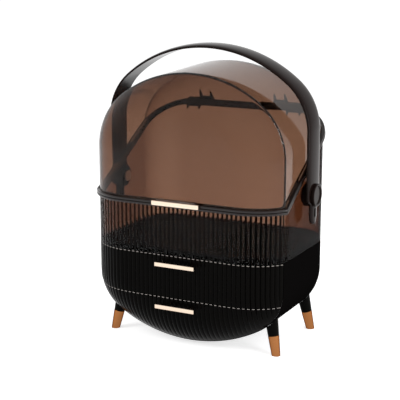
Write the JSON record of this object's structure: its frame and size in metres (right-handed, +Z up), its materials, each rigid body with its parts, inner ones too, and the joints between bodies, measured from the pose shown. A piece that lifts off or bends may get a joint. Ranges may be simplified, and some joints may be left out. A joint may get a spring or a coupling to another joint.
{
  "type": "makeup organizer",
  "caption": "Domed vanity box on short legs, with a hinged clear lid over a reeded tub, a stack of drawers under it and a swinging carry handle.",
  "frame": {"origin": "middle of the plan, on the floor under the legs", "axes": "+X to the right seen from the front, +Y to the back where the lid hinges, +Z up"},
  "size_m": [0.3158, 0.2229, 0.4076],
  "materials": {
    "smoke_clear": "clear smoke-brown, polished",
    "gloss_black": "moulded gloss black",
    "smoke_black": "moulded dark smoke",
    "rose_gold": "polished rose gold",
    "seal_rubber": "matte",
    "steel": "plain"
  },
  "bodies": {
    "case": {"case_shell": "gloss_black", "case_deck": "gloss_black", "drawer_shelf": "gloss_black", "lower_drawer_runner_left": "gloss_black", "lower_drawer_runner_right": "gloss_black", "leg_front_left": "smoke_black", "leg_front_right": "smoke_black", "leg_back_left": "smoke_black", "leg_back_right": "smoke_black", "leg_sleeve_front_left": "rose_gold", "leg_sleeve_front_right": "rose_gold", "leg_sleeve_back_left": "rose_gold", "leg_sleeve_back_right": "rose_gold", "leg_screw_front_left": "steel", "leg_screw_front_right": "steel", "leg_screw_back_left": "steel", "leg_screw_back_right": "steel", "vanity_tub": "smoke_clear", "tub_rim": "gloss_black", "dust_seal": "seal_rubber", "hinge_case_leaf_left": "gloss_black", "hinge_case_leaf_right": "gloss_black", "hinge_pin_left": "steel", "hinge_pin_right": "steel", "pivot_hub_left": "gloss_black", "pivot_hub_right": "gloss_black", "pivot_pin_left": "steel", "pivot_pin_right": "steel", "pivot_knob_left": "gloss_black", "pivot_knob_right": "gloss_black"},
    "lid": {"lid_shell": "smoke_clear", "lid_rim": "gloss_black", "lid_pull_bar": "rose_gold", "lid_thumb_tab": "smoke_clear", "hinge_lid_leaf_left": "gloss_black", "hinge_lid_leaf_right": "gloss_black"},
    "handle": {"handle_band": "gloss_black"},
    "upper_drawer": {"upper_drawer_front": "smoke_black", "upper_drawer_bin": "gloss_black", "upper_drawer_bar": "rose_gold", "upper_drawer_screw_left": "steel", "upper_drawer_screw_right": "steel"},
    "lower_drawer": {"lower_drawer_front": "smoke_black", "lower_drawer_bin": "gloss_black", "lower_drawer_bar": "rose_gold", "lower_drawer_screw_left": "steel", "lower_drawer_screw_right": "steel"}
  },
  "joints": [
    {"name": "lid_open", "type": "hinge", "parent": "case", "child": "lid", "pos_m": [0, 0.1079, 0.313], "axis": [-1, 0, 0], "range_deg": [0, 50]},
    {"name": "handle_swing", "type": "hinge", "parent": "case", "child": "handle", "pos_m": [0, 0.003, 0.2115], "axis": [-1, 0, 0], "range_deg": [0, 130]},
    {"name": "upper_drawer_slide", "type": "slide", "parent": "case", "child": "upper_drawer", "axis": [0, -1, 0], "range_m": [0, 0.12]},
    {"name": "lower_drawer_slide", "type": "slide", "parent": "case", "child": "lower_drawer", "axis": [0, -1, 0], "range_m": [0, 0.12]}
  ],
  "couplings": [
    {"joint": "handle_swing", "follows": "lid_open", "ratio": 2.6}
  ]
}
